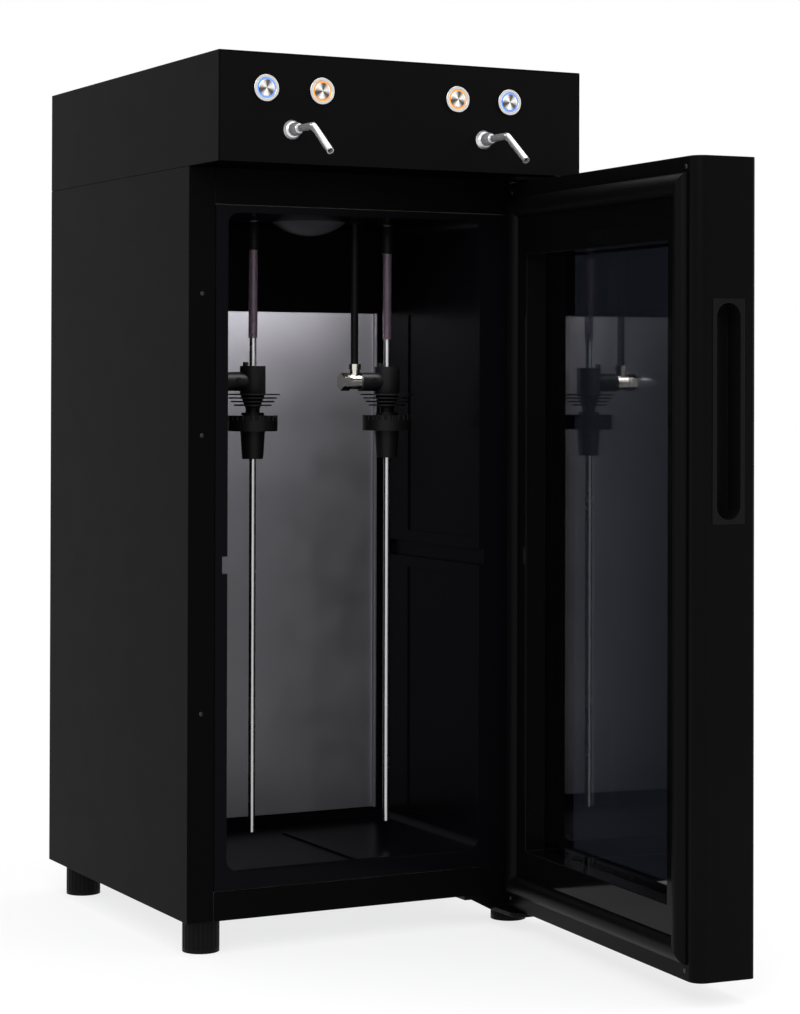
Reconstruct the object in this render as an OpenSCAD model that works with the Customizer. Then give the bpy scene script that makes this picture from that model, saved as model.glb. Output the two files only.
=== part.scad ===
// Two-bottle wine preservation dispenser: cooled cabinet, header with buttons and spouts, glass door.
// Lengths in millimetres. Modules work in the cabinet's frame: x = 0 at the cabinet's middle,
// y = 0 at its front face, z = 0 at the floor. place() then moves that frame so that the origin
// lies under the middle of everything the object covers with its door standing open.

/* [Cabinet] */
// Width over the side panels
body_w = 284; // [270:1:310]
// Depth from the front face to the back panel
body_d = 276; // [270:1:320]
// Height over everything
total_h = 620; // [600:1:680]
// Height of the feet under the base
foot_h = 23; // [16:0.5:35]
// Height of the header box
header_h = 75; // [70:1:95]
// How far the header stands out over the door
overhang = 50; // [46:0.5:58]
// Thickness of the folded steel sheet
sheet_t = 1.2; // [0.8:0.1:2]
// Width of the front flange of each side panel
flange_w = 20; // [14:0.5:24]

/* [Cavity] */
// Width of the space beside the bottle space, as the mean of both sides
wall_w = 42; // [40:1:47]
// Depth of the space behind the bottle space, for the cooling unit
machine_d = 116; // [101:1:126]
// Sideways shift of the bottle space and the controls from the middle
cavity_shift = -12.4; // [-14:0.1:0]
// Height of the floor of the bottle space
floor_z = 57; // [54:0.5:62]
// Height of the space between the bottle space and the header
roof_t = 31; // [27:1:45]
// Wall thickness of the moulded liner
liner_t = 2.5; // [2:0.1:3]
// Corner radius of the bottle space
cavity_r = 8; // [4:0.5:12]
// Height of the front rail at the bottom
rail_h = 20; // [14:0.5:24]
// Depth of the shelf grooves in the side walls
groove_d = 4; // [3:0.5:6]
// Height of a shelf groove
groove_h = 12; // [8:0.5:16]
// Height of the shelf grooves above the floor of the bottle space
groove_up = 206; // [190:1:230]

/* [Cold side] */
// Gap between the cold plate and each side wall
plate_side = 5; // [5:1:25]
// Gap over the cold plate
plate_gap = 64; // [49:1:149]
// Gap under the cold plate
plate_up = 8; // [6:1:14]
// Thickness of the cold plate
plate_t = 2; // [1.5:0.5:4]
// Side of the cold block
block_w = 50; // [44:1:60]
// Length of the cold block through the foam
block_l = 32; // [28:1:34]
// Side of the fan frame
fan_w = 92; // [80:1:100]
// Thickness of the fan frame
fan_t = 25; // [20:1:28]
// Blades on the fan
fan_blades = 7; // [5:1:9]
// Fins on the heat sink
sink_fins = 14; // [10:1:18]

/* [Door] */
// Gap between the closed door frame and the cabinet, filled by the gasket
door_gap = 6; // [5:0.5:8]
// Thickness of the door frame
door_t = 44.2; // [38:0.2:46]
// Clearance under the header and at each side of the closed door
door_side = 3; // [2:0.5:5]
// Height of the lower edge of the door
door_z0 = 15.5; // [14.5:0.5:20]
// Gap between the door and the header
door_top_gap = 4; // [3.5:0.5:6]
// Width of the door beside its window
window_side = 36.5; // [30:0.5:45]
// Height of the door under its window
window_bottom = 44.5; // [36:0.5:60]
// Height of the door over its window
window_top = 53; // [40:0.5:65]
// Depth of the inner pane under the door's inner face
well_d = 16; // [10:0.5:18]
// Thickness of the door in front of the outer pane
lip_t = 12; // [4:0.5:13]
// Thickness of each glass pane
glass_t = 4; // [3:0.5:5]
// Edge radius at the inner side of the door
door_r_in = 9; // [8:0.5:11]
// Edge radius at the outer side of the door
door_r_out = 3; // [1:0.5:5]
// Distance of the gasket from the edges of the door
gasket_in = 10.5; // [9:0.5:12]
// Width of the gasket
gasket_w = 14.5; // [9:0.5:15]
// Angle at which the door stands open
door_open = 86; // [0:1:98]
// Distance of the hinge axis in front of the cabinet
hinge_y = 22.5; // [22.5:0.1:25]
// Distance of the hinge axis from the hinged edge of the door
hinge_in = 17.6; // [16:0.1:18]
// Diameter of the hinge pins
pin_d = 6; // [4:0.5:7]

/* [Handle] */
// Height of the recessed handle's plate
handle_h = 144; // [110:1:180]
// Width of the recessed handle's plate
handle_w = 23.4; // [20:0.2:25]
// Depth of the handle's pocket
handle_d = 15.5; // [10:0.5:16]
// Distance of the handle's middle below the top of the door
handle_down = 163; // [120:1:290]

/* [Controls] */
// Height of the row of buttons above the floor of the header
button_up = 50.5; // [44:0.5:58]
// Distance of the outer buttons from the middle of the row
button_far = 95; // [85:1:105]
// Distance of the inner buttons from the middle of the row
button_near = 53; // [45:1:65]
// Diameter of the button bezels
button_d = 18.4; // [16:0.2:20]
// Travel of a button
button_travel = 2; // [1:0.5:3]
// Height of the spouts above the floor of the header
spout_up = 23; // [20:0.5:28]
// Distance of the spouts from the middle of the row
spout_far = 75; // [68:1:82]
// Outer diameter of a spout
spout_d = 5; // [4:0.2:6]
// How far a spout runs straight out of the panel
spout_out = 31; // [20:1:40]
// Length of a spout's sloping end
spout_end = 30; // [20:1:34]
// Slope of a spout's end below the level
spout_slope = 36; // [25:1:45]

/* [Dispensing heads] */
// Distance of each head from its side wall of the bottle space
head_in = 45.5; // [44:0.5:50]
// Distance of the heads behind the front face
head_y = 59; // [55:1:80]
// Height of the bottles' mouths above the floor of the bottle space
bottle_h = 303.7; // [273:0.1:313]
// Outer diameter of the bottle collar
collar_d = 36; // [32:0.5:40]
// Height of the bottle collar
collar_h = 11.3; // [9:0.1:14]
// Outer diameter of the wine tube
wine_d = 6.5; // [6.1:0.1:8]
// Outer diameter of the gas tube
gas_d = 5.6; // [4:0.1:6]
// Outer diameter of the steel dip tube
dip_d = 5; // [4:0.1:5.2]
// Height of the dip tube's lower end above the cavity floor
dip_up = 15; // [8:1:60]
// Distance of the gas tube from the head's axis
gas_off = 27; // [24:0.5:30]

/* [Feet] */
// Diameter of a foot
foot_d = 26; // [20:0.5:28]
// Distance of the feet from the sides
foot_in_x = 18.5; // [16:0.5:30]
// Distance of the front feet behind the front face
foot_in_y = 18.7; // [18:0.1:30]
// Distance of the rear feet from the back
foot_back = 27; // [20:0.5:40]
// Travel of the screw feet
foot_travel = 8; // [4:1:10]

/* [Hidden] */
$fn = 48;

slit = 0.4;                              // seam between neighbouring panels
fit = 0.05;                              // radial clearance of a running or sliding fit
seat = 0.3;                              // gap at a soft or turning seat
half_w = body_w / 2;
header_z = total_h - header_h;           // underside of the header
base_z = foot_h;
mid_x = cavity_shift;                    // middle of the bottle space and of the controls
cavity_w = body_w - 2 * wall_w;
cavity_d = body_d - machine_d;
ceiling_z = header_z - roof_t;           // ceiling of the bottle space
collar_z = floor_z + bottle_h;           // underside of the bottle collar
head_x = cavity_w / 2 - head_in;         // distance of the heads from the middle
cav_l = mid_x - cavity_w / 2;
cav_r = mid_x + cavity_w / 2;
rail_z = base_z + rail_h;                // top of the bottom rail
top_rail_z = ceiling_z + 5.5;            // lower edge of the top rail
inner_x = half_w - sheet_t;              // inside of the side panels
seam_x = half_w - flange_w;              // where the side panels' flanges end
foam_back = cavity_d + block_l - 2;      // rear face of the foam
groove_z = floor_z + groove_up;

plate_z = floor_z + plate_up;
plate_h = ceiling_z - plate_gap - plate_z;
plate_w = cavity_w - 2 * plate_side;
cool_z = plate_z + plate_h * 0.5;        // height of the cooling unit's middle
peltier_t = 4;
peltier_w = 40;
sink_w = 110;
sink_base = 6;
sink_y = cavity_d + block_l + peltier_t;
fin_l = 24;
fan_y = sink_y + sink_base + fin_l;
rotor_r = fan_w / 2 - 5;
hub_r = 17;
axle_r = 2;

door_w = body_w - 2 * door_side;
door_x1 = half_w - door_side;            // hinged edge of the closed door
door_x0 = -door_x1;
door_z1 = header_z - door_top_gap;
door_in = -door_gap;                     // inner face of the closed door
door_out = -door_gap - door_t;
hinge = [door_x1 - hinge_in, -hinge_y];
rim_w = 20;                              // solid rim of the door frame
pane_edge = 0.3;                         // clearance round a pane
outer_pane = door_out + lip_t;           // outer face of the outer pane
inner_pane = door_in - well_d;           // inner face of the inner pane
cup_wall = 1.5;
handle_z = door_z1 - handle_down;
handle_off = 12;                         // distance of the handle's plate from the inner face
handle_proud = 0.6;
handle_lip = 3;

bush_r = pin_d / 2 + 2;
bush_l = 10;
bush_flange = 0.8;
bracket_t = 3;
bracket_z = door_z0 - bush_flange - 0.2; // top of the lower hinge plate
plate_past = 14;                         // how far the hinge plates reach past their axis
bracket_x = hinge[0] - 23;               // free side of the hinge plates
bracket_x1 = hinge[0] + plate_past;
bracket_y = hinge[1] - plate_past;       // front of the hinge plates

button_z = header_z + button_up;
spout_z = header_z + spout_up;
button_xs = [-button_far, -button_near, button_near, button_far];
panel_y = -overhang;
panel_t = 2;
bore_r = button_d / 2 - 2.2;             // bore of a button housing
led_t = 1.1;
cap_r = bore_r - led_t - 2 * fit;
cap_proud = button_travel + 0.4;
barrel_l = 24;
bend_r = 7;

head_z0 = collar_z + collar_h + 16.2;    // underside of the head's round body
head_h = 19.5;
head_d = 18.6;
port_z = head_z0 + 8.3;
port_d = 13.7;
port_end = 22.6;                         // reach of the gas port from the head's axis
stub_top = head_z0 + head_h + 20.2;      // where the wine tube starts
fin_ds = [39.6, 35.2, 31.4, 27.4];
fin_step = 2.6;
fin_t = 1;
stem_d = 10.3;
ball_z = ceiling_z;                      // height of the swinging axis of the heads
grommet_r = 7;
grommet_neck = 5;
tube_gap = 0.7;

valve = [20, 34, 30];                    // body of a solenoid valve
valve_y = panel_y + panel_t + 28;        // front of the wine valves
gas_valve_x = 30;
gas_valve_y = body_d - 171;
manifold_y = body_d - 71;
manifold = [64, 22, 22];
manifold_leg = [8, 16];
manifold_in = 4;                         // distance of the legs from the block's ends
board = [84, 56, 1.6];

knurls = 24;
stud_r = 4;
stud_l = foot_travel + 8;

// Where the open door reaches, for the origin.
function turned(p) = hinge + [
  p[0] * cos(door_open) - p[1] * sin(door_open),
  p[0] * sin(door_open) + p[1] * cos(door_open)
];
corner_hinge = turned([hinge_in - door_r_out, door_out + door_r_out - hinge[1]]);
corner_free = turned([
  hinge_in - door_w - handle_proud,
  door_in - handle_off - handle_w - hinge[1]
]);
inlet_proud = 2;                         // how far the power inlet's flange stands out
gas_proud = 14;                          // how far the gas inlet stands out
centre_x = (corner_hinge[0] + door_r_out - half_w) / 2;
centre_y = (corner_free[1] + body_d + gas_proud) / 2;

// ---------- helpers ----------

module place() translate([-centre_x, -centre_y, 0]) children();

// Turns what is drawn at the closed door into the open pose.
module hung()
  place() translate([hinge[0], hinge[1], 0]) rotate([0, 0, door_open])
    translate([-hinge[0], -hinge[1], 0]) children();

module block(a, b) translate(a) cube(b - a);

// Box between two corners with rounded edges along y.
module slab_y(a, b, r) {
  block([a[0] + r, a[1], a[2]], [b[0] - r, b[1], b[2]]);
  block([a[0], a[1], a[2] + r], [b[0], b[1], b[2] - r]);
  for (x = [a[0] + r, b[0] - r], z = [a[2] + r, b[2] - r])
    translate([x, a[1], z]) rotate([-90, 0, 0]) cylinder(r = r, h = b[1] - a[1]);
}

// Box with rounded edges along x.
module slab_x(a, b, r) {
  block([a[0], a[1] + r, a[2]], [b[0], b[1] - r, b[2]]);
  block([a[0], a[1], a[2] + r], [b[0], b[1], b[2] - r]);
  for (y = [a[1] + r, b[1] - r], z = [a[2] + r, b[2] - r])
    translate([a[0], y, z]) rotate([0, 90, 0]) cylinder(r = r, h = b[0] - a[0]);
}

module rod_y(x, y0, y1, z, r) translate([x, y0, z]) rotate([-90, 0, 0]) cylinder(r = r, h = y1 - y0);
module rod_x(x0, x1, y, z, r) translate([x0, y, z]) rotate([0, 90, 0]) cylinder(r = r, h = x1 - x0);
module rod_z(x, y, z0, z1, r) translate([x, y, z0]) cylinder(r = r, h = z1 - z0);

// Swept round tube: rings of a polygon carried along a list of points.
function unit(v) = v / norm(v);
function heading(p, i) = unit(p[min(i + 1, len(p) - 1)] - p[max(i - 1, 0)]);
function side_of(t) = unit(cross(t, abs(t[0]) > 0.9 ? [0, 0, 1] : [1, 0, 0]));
function ring(p, i, r, n) =
  let (t = heading(p, i), u = side_of(t), v = cross(t, u))
  [for (k = [0 : n - 1]) p[i] + r * (cos(360 * k / n) * u + sin(360 * k / n) * v)];
module sweep(p, r, n = 8) {
  last = len(p) - 1;
  points = [for (i = [0 : last]) each ring(p, i, r, n)];
  sides = [for (i = [0 : last - 1], k = [0 : n - 1])
    each let (a = i * n + k, b = i * n + (k + 1) % n) [[a, b + n, b], [a, a + n, b + n]]];
  caps = [[for (k = [0 : n - 1]) k], [for (k = [n - 1 : -1 : 0]) last * n + k]];
  polyhedron(points = points, faces = concat(caps, sides), convexity = 6);
}

// Smooth run between two ends that leave along given directions.
function bezier(a, b, c, d, n = 12) = [for (i = [0 : n]) let (t = i / n, s = 1 - t)
  s * s * s * a + 3 * s * s * t * b + 3 * s * t * t * c + t * t * t * d];

// ---------- cabinet ----------

// Folded side panel with its front flange and a narrow rear flange. s is -1 left, 1 right.
rear_flange = 12;
module side_panel(s) place() color([0.045, 0.045, 0.048]) mirror([s > 0 ? 1 : 0, 0, 0]) {
  block([-half_w, 0, base_z], [-inner_x, body_d, header_z]);
  block([-half_w, 0, base_z], [-seam_x, sheet_t, header_z]);
  block([-half_w, body_d - 2 * sheet_t, base_z], [-half_w + rear_flange, body_d - sheet_t, header_z]);
}
module side_panel_left() side_panel(-1);
module side_panel_right() side_panel(1);

// Back panel with air slots behind the fan and the opening for the power inlet.
slot_w = 4;
slot_pitch = 8;
inlet_x = half_w - 57;
inlet_z = 62;
inlet = [28, 22, 56];
vent_r = fan_w / 2 - 2;
supply_x = -half_w + foot_in_x + stud_r + 5;
grille_x = supply_x + 24.5;              // first slot over the power supply
grille_z = [base_z + 57, base_z + 97];
grille_n = 8;
grille_pitch = 12;
module back_panel() place() color([0.05, 0.05, 0.052]) difference() {
  block([-inner_x, body_d - sheet_t, base_z + sheet_t], [inner_x, body_d, header_z]);
  for (x = [-5 * slot_pitch : slot_pitch : 5 * slot_pitch]) {
    h = sqrt(vent_r * vent_r - x * x);
    slab_y([mid_x + x - slot_w / 2, body_d - 2 * sheet_t, cool_z - h],
           [mid_x + x + slot_w / 2, body_d + 1, cool_z + h], slot_w / 2 - 0.1);
  }
  for (i = [0 : grille_n - 1])
    slab_y([grille_x + i * grille_pitch, body_d - 2 * sheet_t, grille_z[0]],
           [grille_x + i * grille_pitch + slot_w, body_d + 1, grille_z[1]], slot_w / 2 - 0.1);
  block([inlet_x - inlet[0] / 2, body_d - 2 * sheet_t, inlet_z - inlet[2] / 2],
        [inlet_x + inlet[0] / 2, body_d + 1, inlet_z + inlet[2] / 2]);
}

function foot_places() = [
  [-half_w + foot_in_x, foot_in_y], [half_w - foot_in_x, foot_in_y],
  [-half_w + foot_in_x, body_d - foot_back], [half_w - foot_in_x, body_d - foot_back]
];
boss_r = stud_r + 3;
boss_h = 10;

// Base plate with a threaded boss over each foot.
module base_plate() place() color([0.35, 0.36, 0.37]) difference() {
  union() {
    block([-inner_x, 2, base_z], [inner_x, body_d - 2 * sheet_t, base_z + sheet_t]);
    for (p = foot_places()) rod_z(p[0], p[1], base_z, base_z + boss_h, boss_r);
  }
  for (p = foot_places()) rod_z(p[0], p[1], base_z - 1, base_z + boss_h + 1, stud_r + fit);
}

rail_t = 1.6;
module bottom_rail() place() color([0.05, 0.05, 0.052])
  block([-seam_x + slit, 0, base_z], [seam_x - slit, rail_t, rail_z]);

module top_rail() place() color([0.04, 0.04, 0.042])
  block([-seam_x + slit, 0, top_rail_z], [seam_x - slit, rail_t, header_z]);

// Outside of the liner's tub, used by the liner and by the foam round it.
module tub_outside() {
  slab_y([cav_l - liner_t, 0, floor_z - liner_t], [cav_r + liner_t, cavity_d + liner_t, ceiling_z + liner_t],
         cavity_r + liner_t);
  wide = groove_d + liner_t;
  block([cav_l - wide, 0, groove_z - liner_t],
        [cav_r + wide, groove_back + liner_t, groove_z + groove_h + liner_t]);
}
groove_back = cavity_d - 10;
lamp_y = 80;
lamp_stem = 20;
wall_panel = 1.2;
wall_panel_y = [8, cavity_d - 48];
rib_w = 3;
rib_h = 1.2;

function head_places() = [mid_x - head_x, mid_x + head_x];
function tube_places() = [for (x = head_places()) each [x, x - gas_off]];

// Vertical holes for the four tubes.
module tube_holes(z0, z1, r) for (x = tube_places()) rod_z(x, head_y, z0, z1, r);

// Rounded front lip of the liner's floor.
lip_r = liner_t;
module front_lip() rod_x(cav_l + cavity_r, cav_r - cavity_r, lip_r, floor_z - lip_r, lip_r);

// Moulded liner: front flange and bottle space, with shelf grooves and pressed wall panels.
module cavity_liner() place() color([0.06, 0.06, 0.075]) {
  difference() {
    union() {
      tub_outside();
      block([-seam_x + slit, 0, rail_z + slit], [seam_x - slit, liner_t, top_rail_z - slit]);
    }
    slab_y([cav_l, -1, floor_z], [cav_r, cavity_d, ceiling_z], cavity_r);
    block([cav_l - groove_d, -1, groove_z], [cav_r + groove_d, groove_back, groove_z + groove_h]);
    for (z = [[floor_z + cavity_r + 4, groove_z - 8], [groove_z + groove_h + 8, plate_z + plate_h - 2]])
      block([cav_l - wall_panel, wall_panel_y[0], z[0]], [cav_r + wall_panel, wall_panel_y[1], z[1]]);
    block([cav_l + cavity_r, -1, floor_z - lip_r], [cav_r - cavity_r, lip_r, floor_z + 1]);
    rod_z(mid_x, lamp_y, ceiling_z - 1, ceiling_z + liner_t + 1, lamp_stem);
    tube_holes(ceiling_z - 1, ceiling_z + liner_t + 1, grommet_neck);
    block([mid_x - block_w / 2, cavity_d - 1, cool_z - block_w / 2],
          [mid_x + block_w / 2, cavity_d + liner_t + 1, cool_z + block_w / 2]);
  }
  front_lip();
  block([mid_x - rib_w / 2, liner_t + 1, floor_z], [mid_x + rib_w / 2, cavity_d - 40, floor_z + rib_h]);
}

// Foam that fills the space between the liner and the steel, with ways for tubes, block and feet.
module foam_insulation() place() color([0.86, 0.83, 0.70]) difference() {
  block([-inner_x, liner_t, base_z + sheet_t], [inner_x, foam_back, header_z]);
  tub_outside();
  front_lip();
  rod_z(mid_x, lamp_y, ceiling_z, ceiling_z + 10, lamp_stem);
  tube_holes(ceiling_z, header_z + 1, grommet_neck);
  block([mid_x - block_w / 2, cavity_d, cool_z - block_w / 2],
        [mid_x + block_w / 2, foam_back + 1, cool_z + block_w / 2]);
  for (p = foot_places()) {
    rod_z(p[0], p[1], base_z, base_z + boss_h, boss_r);
    rod_z(p[0], p[1], base_z, base_z + stud_l + 1, stud_r + fit);
  }
}

// ---------- cooling ----------

// Aluminium cold plate on the rear wall, with narrow returned edges.
module cold_plate() place() color([0.60, 0.60, 0.63]) {
  x0 = mid_x - plate_w / 2;
  x1 = mid_x + plate_w / 2;
  block([x0, cavity_d - plate_t, plate_z], [x1, cavity_d, plate_z + plate_h]);
  for (x = [x0, x1 - plate_t])
    block([x, cavity_d - 3 * plate_t, plate_z], [x + plate_t, cavity_d, plate_z + plate_h]);
}

module cold_block() place() color([0.72, 0.72, 0.74])
  block([mid_x - block_w / 2, cavity_d, cool_z - block_w / 2],
        [mid_x + block_w / 2, cavity_d + block_l, cool_z + block_w / 2]);

module peltier_module() place() color([0.92, 0.92, 0.90])
  block([mid_x - peltier_w / 2, cavity_d + block_l, cool_z - peltier_w / 2],
        [mid_x + peltier_w / 2, sink_y, cool_z + peltier_w / 2]);

module heat_sink() place() color([0.66, 0.67, 0.69]) {
  x0 = mid_x - sink_w / 2;
  block([x0, sink_y, cool_z - sink_w / 2], [x0 + sink_w, sink_y + sink_base, cool_z + sink_w / 2]);
  fin_w = 1.6;
  for (i = [0 : sink_fins - 1]) {
    x = x0 + i * (sink_w - fin_w) / (sink_fins - 1);
    block([x, sink_y + sink_base, cool_z - sink_w / 2], [x + fin_w, fan_y, cool_z + sink_w / 2]);
  }
}

bearing_l = 12;
strut_t = 3;
module fan_frame() place() color([0.05, 0.05, 0.05]) difference() {
  back = fan_y + fan_t;
  union() {
    difference() {
      slab_y([mid_x - fan_w / 2, fan_y, cool_z - fan_w / 2],
             [mid_x + fan_w / 2, back, cool_z + fan_w / 2], 4);
      rod_y(mid_x, fan_y - 1, back + 1, cool_z, rotor_r + 1);
    }
    rod_y(mid_x, back - strut_t, back, cool_z, hub_r);
    rod_y(mid_x, back - bearing_l, back, cool_z, axle_r + 2.5);
    for (a = [45 : 90 : 315]) translate([mid_x, 0, cool_z]) rotate([0, a, 0])
      block([hub_r - 2, back - strut_t, -strut_t / 2], [rotor_r + 3, back, strut_t / 2]);
  }
  rod_y(mid_x, back - bearing_l - 1, back - 1, cool_z, axle_r + fit);
  for (x = [-1, 1], z = [-1, 1])
    rod_y(mid_x + x * (fan_w / 2 - 5), fan_y - 1, back + 1, cool_z + z * (fan_w / 2 - 5), 2.2);
}

// Rotor: a cup over the bearing tube, an axle and tilted blades.
module fan_rotor() place() color([0.10, 0.10, 0.10]) {
  y0 = fan_y + 2;
  y1 = fan_y + fan_t - strut_t - 1;
  pitch = 38;
  difference() {
    rod_y(mid_x, y0, y1, cool_z, hub_r);
    rod_y(mid_x, y0 + 3, y1 + 1, cool_z, hub_r - 2);
  }
  rod_y(mid_x, y0 + 2, fan_y + fan_t - 2, cool_z, axle_r);
  intersection() {
    difference() {
      rod_y(mid_x, y0, y1, cool_z, rotor_r);
      rod_y(mid_x, y0 - 1, y1 + 1, cool_z, hub_r - 1);
    }
    for (i = [0 : fan_blades - 1]) translate([mid_x, (y0 + y1) / 2, cool_z])
      rotate([0, i * 360 / fan_blades, 0]) translate([hub_r - 1.5, 0, 0])
        rotate([pitch, 0, 0]) block([0, -1, -14], [rotor_r, 1, 14]);
  }
}

// ---------- electrics ----------

supply = [84, 58, 36];
module power_supply() place() color([0.70, 0.71, 0.72]) difference() {
  y1 = body_d - 3 * sheet_t - 6;
  z0 = base_z + sheet_t;
  block([supply_x, y1 - supply[1], z0], [supply_x + supply[0], y1, z0 + supply[2]]);
  for (i = [0 : 9])
    block([supply_x + 8 + i * 8, y1 - supply[1] + 8, z0 + supply[2] - 2],
          [supply_x + 11 + i * 8, y1 - 8, z0 + supply[2] + 1]);
}

socket = [24, 16, 16];
rocker = [14, 20];
rocker_z = inlet_z + 14;
socket_z = inlet_z - 13;
rocker_pin = 1.2;
rocker_y = body_d - 4;
rocker_tilt = 8;

// Mains inlet with its three blades, and the opening of the rocker switch above it.
module power_inlet() place() color([0.04, 0.04, 0.04]) {
  rim = 3;
  difference() {
    union() {
      slab_y([inlet_x - inlet[0] / 2 - rim, body_d, inlet_z - inlet[2] / 2 - rim],
             [inlet_x + inlet[0] / 2 + rim, body_d + inlet_proud, inlet_z + inlet[2] / 2 + rim], 3);
      block([inlet_x - inlet[0] / 2, body_d - inlet[1], inlet_z - inlet[2] / 2],
            [inlet_x + inlet[0] / 2, body_d, inlet_z + inlet[2] / 2]);
    }
    block([inlet_x - socket[0] / 2, body_d - socket[1], socket_z - socket[2] / 2],
          [inlet_x + socket[0] / 2, body_d + 3, socket_z + socket[2] / 2]);
    block([inlet_x - rocker[0] / 2 - 0.2, body_d - 14, rocker_z - rocker[1] / 2 - 1.2],
          [inlet_x + rocker[0] / 2 + 0.2, body_d + 3, rocker_z + rocker[1] / 2 + 1.2]);
    rod_x(inlet_x - rocker[0] / 2 - 3, inlet_x + rocker[0] / 2 + 3, rocker_y, rocker_z, rocker_pin + fit);
  }
  for (p = [[-7, -2], [7, -2], [0, 3]])
    block([inlet_x + p[0] - 1, body_d - socket[1] - 1, socket_z + p[1] - 2],
          [inlet_x + p[0] + 1, body_d - 2, socket_z + p[1] + 2]);
}

// Rocker, pressed to one side, on its two pivot pins.
module power_switch() place() color([0.55, 0.06, 0.05])
  translate([inlet_x, rocker_y, rocker_z]) rotate([rocker_tilt, 0, 0]) {
    h = rocker[1] / 2 - 0.4;
    translate([-rocker[0] / 2, 0, 0]) rotate([90, 0, 90]) linear_extrude(height = rocker[0])
      polygon([[-5, -4], [1, -h], [4, -h], [2.6, 0], [4, h], [1, h], [-5, 4]]);
    rod_x(-rocker[0] / 2 - 2, rocker[0] / 2 + 2, 0, 0, rocker_pin);
  }

board_x = half_w - 94;
board_y = body_d - 86;
board_in = 5;                            // distance of the standoffs from the board's edges
standoff = 8;
relay = [12, 16, 14];
relay_pitch = 17;
chip = [22, 12, 3];
chip_in = [12, 8];                       // corner of the chip on the board
can_xs = [50, 64];                       // capacitors on the board
can = [5, 12];
module control_board() place() color([0.05, 0.30, 0.16]) {
  z0 = header_z + sheet_t;
  z1 = z0 + standoff + board[2];
  block([board_x, board_y, z0 + standoff], [board_x + board[0], board_y + board[1], z1]);
  for (x = [board_in, board[0] - board_in], y = [board_in, board[1] - board_in])
    rod_z(board_x + x, board_y + y, z0, z0 + standoff, 3);
  for (i = [0 : 3])
    translate([board_x + chip_in[0] + i * relay_pitch, board_y + board[1] - 26, z1]) cube(relay);
  translate([board_x + chip_in[0], board_y + chip_in[1], z1]) cube(chip);
  for (x = can_xs) rod_z(board_x + x, board_y + chip_in[1] + chip[1] / 2, z1, z1 + can[1], can[0]);
}

// ---------- header ----------

gas_z = header_z + 30;
gas_r = 3.1;                             // bore of the gas inlet for a 6 mm hose
module header_shell() place() color([0.05, 0.05, 0.053]) difference() {
  block([-half_w, panel_y, header_z], [half_w, body_d, total_h]);
  block([-inner_x, panel_y - 1, header_z - 1], [inner_x, body_d - sheet_t, total_h - sheet_t]);
  rod_y(mid_x, body_d - 3, body_d + 1, gas_z, gas_r + 3);
}

module header_floor() place() color([0.05, 0.05, 0.053]) difference() {
  block([-inner_x, panel_y + panel_t, header_z], [inner_x, body_d - sheet_t, header_z + sheet_t]);
  tube_holes(header_z - 1, header_z + sheet_t + 1, grommet_neck);
}

module control_panel() place() color([0.05, 0.05, 0.053]) difference() {
  block([-inner_x, panel_y, header_z], [inner_x, panel_y + panel_t, total_h - sheet_t]);
  for (x = button_xs) rod_y(mid_x + x, panel_y - 1, panel_y + panel_t + 1, button_z, bore_r + 1);
  for (x = [-spout_far, spout_far])
    rod_y(mid_x + x, panel_y - 1, panel_y + panel_t + 1, spout_z, spout_d / 2 + fit);
}

module button_housings() place() color([0.62, 0.61, 0.60]) for (x = button_xs) difference() {
  union() {
    rod_y(mid_x + x, panel_y - 2, panel_y, button_z, button_d / 2);
    rod_y(mid_x + x, panel_y, panel_y + barrel_l, button_z, bore_r + 1);
    translate([mid_x + x, panel_y + panel_t, button_z]) rotate([-90, 0, 0])
      cylinder(r = bore_r + 4, h = 3, $fn = 6);
  }
  rod_y(mid_x + x, panel_y - 3, panel_y + barrel_l - 3, button_z, bore_r);
}

module button_led_rings() place() color([0.95, 0.75, 0.45]) for (x = button_xs) difference() {
  rod_y(mid_x + x, panel_y - 1.6, panel_y + 5, button_z, bore_r - fit);
  rod_y(mid_x + x, panel_y - 2.6, panel_y + 6, button_z, bore_r - led_t);
}

module button_cap(i) place() color([0.70, 0.69, 0.68])
  rod_y(mid_x + button_xs[i], panel_y - cap_proud, panel_y + 10, button_z, cap_r);
module button_cap_1() button_cap(0);
module button_cap_2() button_cap(1);
module button_cap_3() button_cap(2);
module button_cap_4() button_cap(3);

// Route of a spout's tube: straight out, a bend, then the sloping end. more lengthens both ends.
spout_sides = 20;
bend_steps = 6;
function spout_path(more) = let (y0 = panel_y - spout_out) concat(
  [[0, valve_y + more, spout_z]],
  [for (k = [0 : bend_steps]) let (a = spout_slope * k / bend_steps)
    [0, y0 - bend_r * sin(a), spout_z - bend_r * (1 - cos(a))]],
  [[0, y0 - bend_r * sin(spout_slope) - (spout_end + more) * cos(spout_slope),
    spout_z - bend_r * (1 - cos(spout_slope)) - (spout_end + more) * sin(spout_slope)]]);
spout_wall = 0.7;
module spouts() place() color([0.85, 0.85, 0.86]) for (x = [-spout_far, spout_far])
  translate([mid_x + x, 0, 0]) difference() {
    sweep(spout_path(0), spout_d / 2, spout_sides);
    sweep(spout_path(1), spout_d / 2 - spout_wall, spout_sides);
  }

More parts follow.
